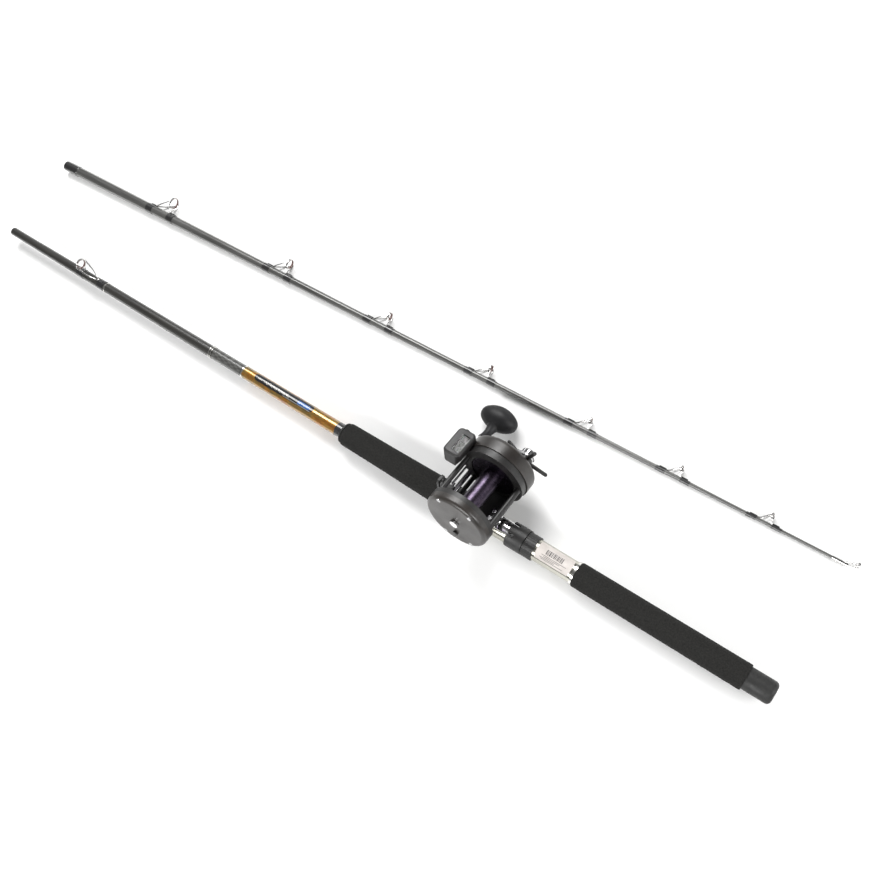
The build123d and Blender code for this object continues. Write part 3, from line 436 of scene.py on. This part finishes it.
fibre = new_finish("drag_fibre", roughness=0.8)
FIBRE_BROWNS = [(0.3, (0.02, 0.018, 0.016)), (0.7, (0.07, 0.06, 0.05))]
colours(fibre, cloud(fibre, 1400, stretch=(1, 0.2, 1)), FIBRE_BROWNS)

window = new_finish("counter_window", roughness=0.05, specular=0.6)
window_shader = window.node_tree.nodes["Principled BSDF"]
window_shader.inputs["Base Color"].default_value = (0.95, 0.95, 0.95, 1)
window_shader.inputs["Transmission Weight"].default_value = 1.0
window_shader.inputs["IOR"].default_value = 1.2
bump(window, cloud(window, 120), 0.00002, 0.2)

wheel_black = new_finish("number_wheel_black", roughness=0.45)
colours(wheel_black, cloud(wheel_black, 500), [(0.3, (0.012, 0.012, 0.012)), (0.7, (0.022, 0.022, 0.022))])
print("thread pitch in mm:", THREAD_PITCH / MM)

# %% [markdown]
# ## Dressing the mechanical parts
# Each part of the model names the kind of finish that it takes. Going through that list once
# dresses every part, seen or hidden, and nothing is forgotten. A few parts then get a finish
# of their own, because one plastic moulding can be shinier than its neighbour; the tail plate
# and gear cover also carry a warm brown tint that is a painted reflection.

# %% Give every part its finish
FINISH_OF_SLOT = {
    "graphite_blank": graphite,
    "tip_blank_grey": tip_grey,
    "eva_foam": foam,
    "black_rubber": cap_rubber,
    "seat_silver": seat_metal,
    "amber_thread": amber,
    "black_thread": black_thread,
    "silver_trim": trim_metal,
    "guide_steel": guide_metal,
    "ring_ceramic": ceramic,
    "reel_graphite": reel_plastic,
    "spool_metal": spool_metal,
    "steel": steel,
    "chrome": chrome,
    "brass": brass,
    "drag_fibre": fibre,
    "knob_rubber": knob_rubber,
    "clear_lens": window,
    "digit_white": wheel_black,
}
FINISH_OF_PART = {
    "tail_plate": glossy_plastic_with_painted_reflection,
    "gear_cover": glossy_plastic_with_painted_reflection,
}


def dress(piece, finish):
    piece.data.materials.clear()
    piece.data.materials.append(finish)


for part in frame["record"]["subparts"]:
    name = part["node"]
    dress(nodes[name], FINISH_OF_PART.get(name, FINISH_OF_SLOT[part["material_slot"]]))
print("parts dressed:", len(nodes))

# %% [markdown]
# ## Shaping by turning
# Most of a rod and reel is turned on a lathe, so the first shaping tool here is a lathe: an
# outline of distances along an axis and radii is spun into a skin. Writing the vertices
# directly keeps the faces even and closes both ends exactly.

# %% Lathe and other shaping helpers
def finished_piece(name, mesh, finish, body, replaced=()):
    """Add a mesh whose place is in its vertices, and give it its finish and body."""
    piece = bpy.data.objects.new(name, mesh)
    bpy.context.scene.collection.objects.link(piece)
    dress(piece, finish)
    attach(piece, body)
    if replaced:
        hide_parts(*replaced)
    print(name, len(mesh.polygons), "faces on", body)
    return piece


def tidy_mesh(shape, name, smooth_degrees=35):
    """Turn a bmesh into a mesh with its faces outward and its sharp edges kept sharp."""
    bmesh.ops.remove_doubles(shape, verts=shape.verts, dist=1e-7)
    bmesh.ops.recalc_face_normals(shape, faces=shape.faces)
    for face in shape.faces:
        face.smooth = True
    for edge in shape.edges:
        edge.smooth = edge.calc_face_angle(pi) < radians(smooth_degrees)
    mesh = bpy.data.meshes.new(name)
    shape.to_mesh(mesh)
    shape.free()
    return mesh


def spin(shape, outline, matrix, segments=64):
    """Spin an outline of (along, radius) in mm about a matrix's x axis into a bmesh."""
    loops = []
    for distance, radius in outline:
        if radius < 1e-6:
            loops.append([shape.verts.new(matrix @ Vector((distance * MM, 0, 0)))])
            continue
        turns = [2 * pi * step / segments for step in range(segments)]
        points = [Vector((distance, radius * cos(turn), radius * sin(turn))) * MM for turn in turns]
        loops.append([shape.verts.new(matrix @ point) for point in points])
    for first, second in zip(loops, loops[1:] + loops[:1]):
        if len(first) == 1 and len(second) == 1:
            continue
        for step in range(segments):
            following = (step + 1) % segments
            ring = [first[step % len(first)], first[following % len(first)]]
            ring += [second[following % len(second)], second[step % len(second)]]
            shape.faces.new(list(dict.fromkeys(ring)))


def tube(shape, path, radius, sides=10):
    """Sweep a round wire of that radius in metres along a list of places."""
    loops = []
    normal = None
    for before, place, after in zip(path[:1] + path, path, path[1:] + path[-1:]):
        forward = (after - before).normalized()
        if normal is None:
            normal = forward.orthogonal().normalized()
        normal = (normal - forward * normal.dot(forward)).normalized()
        side = forward.cross(normal)
        turns = [2 * pi * step / sides for step in range(sides)]
        loops.append([
            shape.verts.new(place + (normal * cos(turn) + side * sin(turn)) * radius)
            for turn in turns
        ])
    for first, second in zip(loops, loops[1:]):
        for step in range(sides):
            following = (step + 1) % sides
            shape.faces.new((first[step], first[following], second[following], second[step]))
    shape.faces.new(loops[0])
    shape.faces.new(loops[-1][::-1])


def smooth_path(points, steps=6):
    """A flowing line through a few places."""
    ends = [points[0] * 2 - points[1]] + points + [points[-1] * 2 - points[-2]]
    path = []
    for first, start, stop, last in zip(ends, ends[1:], ends[2:], ends[3:]):
        for step in range(steps):
            t = step / steps
            pull = (stop - first) * t + (first * 2 - start * 5 + stop * 4 - last) * t**2
            path.append((start * 2 + pull + (start * 3 - stop * 3 + last - first) * t**3) / 2)
    return path + [points[-1]]


# %% [markdown]
# ## Wire line guides
# A boat-rod guide is stainless wire: one wire on each side leaves the rear foot, bows out
# round the ring, is brazed to it, and comes down to the front foot. The bow lets line slip
# off instead of catching. Real guides are bent on a jig, so here each wire is a smooth line
# through a handful of places worked out from the ring's own box, swept with a round section.

# %% Guides
WIRE = {"stripper_frame": 1.0, "tip_guide_1": 0.85, "tip_guide_2": 0.8, "tip_guide_3": 0.7}
THIN_WIRE = 0.6
HOOP_DEPTH = 2.2


def guide_measures(node, rod):
    """Where a guide's feet and ring are, in mm in its rod's frame."""
    into = rod.inverted()
    local = [into @ point for point in vertices_of(node)]
    start = min(point.x for point in local)
    end = max(point.x for point in local)
    top = max(point.z for point in local)
    base = min(point.z for point in local)
    reach = max(point.y for point in local)
    crown = [point for point in local if point.z > top - 0.2 * MM]
    ring_x = sum(point.x for point in crown) / len(crown)
    return [value / MM for value in (start, end, base, top - reach, reach, ring_x)]


def make_guide(node, rod, body, piece_name):
    start, end, base, height, radius, ring_x = guide_measures(node, rod)
    wire = WIRE.get(node, THIN_WIRE)
    heel, toe = (start, end) if ring_x - start > end - ring_x else (end, start)
    lean = 1 if heel < toe else -1
    seat = base + wire * 0.55
    shape = bmesh.new()
    for side in (-1, 1):
        heel_foot = heel + lean * 9.0
        toe_foot = toe - lean * 9.0
        bowed = radius * 1.02
        places = [
            (heel + lean * 0.5, side * 0.7, seat),
            (heel_foot - lean, side * 0.75, seat),
            (heel_foot + lean * 2.5, side * (0.9 + radius * 0.12), seat + height * 0.07),
            (heel_foot + (ring_x - heel_foot) * 0.45, side * bowed * 0.72, base + (height - base) * 0.42),
            (ring_x - lean * 2.5, side * bowed, base + (height - base) * 0.86),
            (ring_x + lean * 0.8, side * bowed, height),
            (ring_x + lean * 2.6, side * bowed * 0.86, base + (height - base) * 0.72),
            (toe_foot - lean * 1.8, side * (0.9 + radius * 0.3), seat + height * 0.2),
            (toe_foot + lean, side * 0.75, seat),
            (toe - lean * 0.5, side * 0.7, seat),
        ]
        path = smooth_path([rod @ (Vector(place) * MM) for place in places])
        tube(shape, path, wire * MM * 0.92)
    across_rod = rod.to_3x3() @ Vector((0, 1, 0))
    out = rod.to_3x3() @ Vector((0, 0, 1))
    centre = rod @ (Vector((ring_x, 0, height)) * MM)
    hoop = turned_frame(centre, rod.to_3x3() @ Vector((1, 0, 0)), out)
    rim, deep = radius - 1.1, HOOP_DEPTH / 2
    outline = [(-deep, rim), (-deep, radius - 0.35), (-deep * 0.6, radius), (deep * 0.6, radius)]
    spin(shape, outline + [(deep, radius - 0.35), (deep, rim)], hoop, 40)
    mesh = tidy_mesh(shape, piece_name)
    finished_piece(piece_name, mesh, guide_metal, body, [node])
    liner = radius - 1.1
    bead = [
        (1.4 * cos(pi * step / 8), liner - 0.55 - 0.4 * sin(pi * step / 8))
        for step in range(9)
    ]
    return hoop, [(1.4, liner)] + bead + [(-1.4, liner)]


make_guide_list = [("stripper_frame", BUTT, "rod", "stripper_wire")]
for number in range(1, 8):
    make_guide_list.append((f"tip_guide_{number}", TIP, "tip_section", f"guide_wire_{number}"))
liners = {"rod": bmesh.new(), "tip_section": bmesh.new()}
for node, rod, body, piece_name in make_guide_list:
    hoop, bead = make_guide(node, rod, body, piece_name)
    spin(liners[body], bead, hoop, 40)

# %% [markdown]
# ## Ceramic liners
# Line running over bare steel would wear a groove in it, so every ring holds a hard ceramic
# liner with a rounded inside. The liners of one section are one casting colour and move
# together, so they are spun together and kept as one piece for each section.

# %% Ceramic rings and the tip ring
tip_in = TIP.inverted()
tip_local = [tip_in @ point for point in vertices_of("tip_top")]
tip_length = max(point.x for point in tip_local) / MM
ring_points = [point for point in tip_local if point.x / MM > tip_length - 1.0]
ring_top = max(point.z for point in ring_points) / MM
ring_low = min(point.z for point in ring_points) / MM
ring_height = (ring_top + ring_low) / 2
ring_radius = (ring_top - ring_low) / 2
tip_hoop = turned_frame(
    TIP @ (Vector((tip_length - 1.2, 0, ring_height)) * MM),
    TIP.to_3x3() @ Vector((1, 0, 0)),
    TIP.to_3x3() @ Vector((0, 0, 1)),
)
liner = ring_radius - 0.7
tip_bead = [
    (1.1 * cos(pi * step / 8), liner - 0.3 - 0.35 * sin(pi * step / 8)) for step in range(9)
]
spin(liners["tip_section"], [(1.1, liner)] + tip_bead + [(-1.1, liner)], tip_hoop, 40)
for body, piece_name, node in (
    ("rod", "stripper_liner", "stripper_ring"),
    ("tip_section", "guide_liners", "tip_guide_rings"),
):
    mesh = tidy_mesh(liners[body], piece_name)
    finished_piece(piece_name, mesh, ceramic, body, [node])

# %% [markdown]
# ## Decal and label
# The long black panel on the amber wrapping and the white ticket on the reel seat are thin
# sheets that follow the tube. Each is built as a grid: one direction runs along the rod and
# the other round it, so the sheet has the tube's curve exactly and stands a hair above it.
# What is printed on them is plain marks, made the same way, one step higher.

# %% Curved sheets
def curved_sheet(shape, rod, span, radii, middle_angle, half_angle, lift, corner=0.0, slant=0.0):
    """Lay a thin closed sheet on a tube: span in mm along it, angles in radians round it."""
    start, end = span
    columns, rows = 24, 10
    thickness = 0.06
    length = end - start
    layers = []
    for height in (lift, lift + thickness):
        layer = []
        for column in range(columns + 1):
            share = column / columns
            if corner:
                share = (1 - cos(pi * share)) / 2
            distance = start + length * share
            from_end = min(distance - start, end - distance)
            narrowing = 1.0
            if corner and from_end < corner:
                narrowing = max(0.03, (1 - (1 - from_end / corner) ** 2) ** 0.5)
            radius = radii[0] + (radii[1] - radii[0]) * share + height
            line = []
            for row in range(rows + 1):
                part = 2 * row / rows - 1
                angle = middle_angle + part * half_angle * narrowing
                place = Vector((distance + part * slant, -radius * sin(angle), radius * cos(angle)))
                line.append(shape.verts.new(rod @ (place * MM)))
            layer.append(line)
        layers.append(layer)
    under, over = layers
    for column in range(columns):
        for row in range(rows):
            for layer, order in ((over, 1), (under, -1)):
                quad = [layer[column][row], layer[column + 1][row]]
                quad += [layer[column + 1][row + 1], layer[column][row + 1]]
                shape.faces.new(quad[::order])
        for row in (0, rows):
            edge = [under[column][row], under[column + 1][row]]
            shape.faces.new(edge + [over[column + 1][row], over[column][row]])
    for row in range(rows):
        for column in (0, columns):
            edge = [under[column][row], under[column][row + 1]]
            shape.faces.new(edge + [over[column][row + 1], over[column][row]])


def tube_radius(node, distance):
    """The radius of a turned part of the butt section at a distance along it, in mm."""
    into = BUTT.inverted()
    local = [into @ point for point in vertices_of(node)]
    spots = {}
    for point in local:
        key = round(point.x / MM, 1)
        spots[key] = max(spots.get(key, 0.0), hypot(point.y, point.z) / MM)
    keys = sorted(spots)
    if distance <= keys[0]:
        return spots[keys[0]]
    for low, high in zip(keys, keys[1:]):
        if distance <= high:
            return spots[low] + (spots[high] - spots[low]) * (distance - low) / (high - low)
    return spots[keys[-1]]


amber_low, amber_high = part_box("amber_wrap")
amber_start = (amber_low.x - butt_start) / MM
amber_end = (amber_high.x - butt_start) / MM
seat_end = (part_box("seat_tube")[1].x - butt_start) / MM
seat_r = tube_radius("seat_tube", seat_end)
print("amber wrapping, mm:", round(amber_start, 1), "to", round(amber_end, 1))
print("seat radius, mm:", round(seat_r, 2))

# %% Black decal with its printed marks
PANEL = (amber_start + 20, amber_start + 122)
PANEL_HALF = radians(36)
decal_black = new_finish("decal_black", roughness=0.3, coat=0.8, coat_roughness=0.05)
colours(decal_black, cloud(decal_black, 300), [(0.3, (0.006, 0.006, 0.007)), (0.7, (0.012, 0.011, 0.012))])
decal_white = new_finish("decal_white", roughness=0.3, coat=0.8, coat_roughness=0.05)
colours(decal_white, cloud(decal_white, 700), [(0.3, (0.42, 0.40, 0.37)), (0.7, (0.70, 0.68, 0.63))])
decal_blue = new_finish("decal_blue", roughness=0.3, coat=0.8, coat_roughness=0.05)
colours(decal_blue, cloud(decal_blue, 500), [(0.3, (0.02, 0.07, 0.24)), (0.7, (0.05, 0.14, 0.38))])
panel_radii = [tube_radius("amber_wrap", distance) for distance in PANEL]


def panel_radius(distance):
    share = (distance - PANEL[0]) / (PANEL[1] - PANEL[0])
    return panel_radii[0] + (panel_radii[1] - panel_radii[0]) * share


def on_panel(shape, start, end, angle, half_angle, lift, corner=0.0, slant=0.0):
    radii = (panel_radius(start), panel_radius(end))
    curved_sheet(shape, BUTT, (start, end), radii, angle, half_angle, lift, corner, slant)


panel = bmesh.new()
on_panel(panel, *PANEL, 0.0, PANEL_HALF, 0.02, corner=6.0)
finished_piece("decal_panel", tidy_mesh(panel, "decal_panel"), decal_black, "rod")
marks = bmesh.new()
MARK_SHAPES = [(0.9, 0.16, 1.6), (1.3, 0.20, 1.9), (0.8, 0.17, 1.2), (1.5, 0.15, 1.7), (1.0, 0.21, 2.0)]
for index in range(15):
    width, half_height, slant = MARK_SHAPES[index % len(MARK_SHAPES)]
    start = PANEL[0] + 18 + index * 2.9
    on_panel(marks, start, start + width, 0.12, half_height, 0.10, slant=slant)
on_panel(marks, PANEL[0] + 6, PANEL[0] + 13, 0.16, 0.05, 0.10)
on_panel(marks, PANEL[0] + 52, PANEL[1] - 3, 0.50, 0.018, 0.10)
finished_piece("decal_marks", tidy_mesh(marks, "decal_marks"), decal_white, "rod")
patch = bmesh.new()
on_panel(patch, PANEL[0] + 76, PANEL[0] + 97, 0.10, 0.30, 0.10, corner=1.2)
finished_piece("decal_blue_patch", tidy_mesh(patch, "decal_blue_patch"), decal_blue, "rod")

# %% White ticket on the reel seat
TICKET = (seat_end - 52, seat_end - 5.5)
TICKET_TURN = radians(12)
TICKET_HALF = radians(50)
ticket_paper = new_finish("ticket_paper", roughness=0.6)
colours(ticket_paper, cloud(ticket_paper, 90), [(0.3, (0.50, 0.46, 0.43)), (0.7, (0.62, 0.58, 0.55))])
ticket_ink = new_finish("ticket_ink", roughness=0.6)
colours(ticket_ink, cloud(ticket_ink, 900), [(0.3, (0.02, 0.02, 0.02)), (0.7, (0.09, 0.08, 0.08))])
ticket = bmesh.new()
curved_sheet(ticket, BUTT, TICKET, (seat_r, seat_r), TICKET_TURN, TICKET_HALF, 0.02, corner=2.0)
finished_piece("seat_ticket", tidy_mesh(ticket, "seat_ticket"), ticket_paper, "rod")
ink = bmesh.new()
BAR_WIDTHS = [1.2, 0.5, 0.8, 1.6, 0.5, 1.1, 0.6, 1.4, 0.9, 0.5, 1.3, 0.7, 1.0, 0.5, 1.2]
bar_start = TICKET[0] + 12
for index, width in enumerate(BAR_WIDTHS):
    span = (bar_start, bar_start + width * 0.8)
    curved_sheet(ink, BUTT, span, (seat_r, seat_r), TICKET_TURN - 0.10, 0.24, 0.10)
    bar_start += width * 0.8 + 0.55 + 0.25 * (index % 3)
for line, (from_start, from_end) in enumerate(((8, 6), (11, 14), (7, 20), (9, 9))):
    span = (TICKET[0] + from_start, TICKET[1] - from_end)
    curved_sheet(ink, BUTT, span, (seat_r, seat_r), TICKET_TURN + 0.28 + 0.12 * line, 0.018, 0.10)
finished_piece("ticket_print", tidy_mesh(ink, "ticket_print"), ticket_ink, "rod")
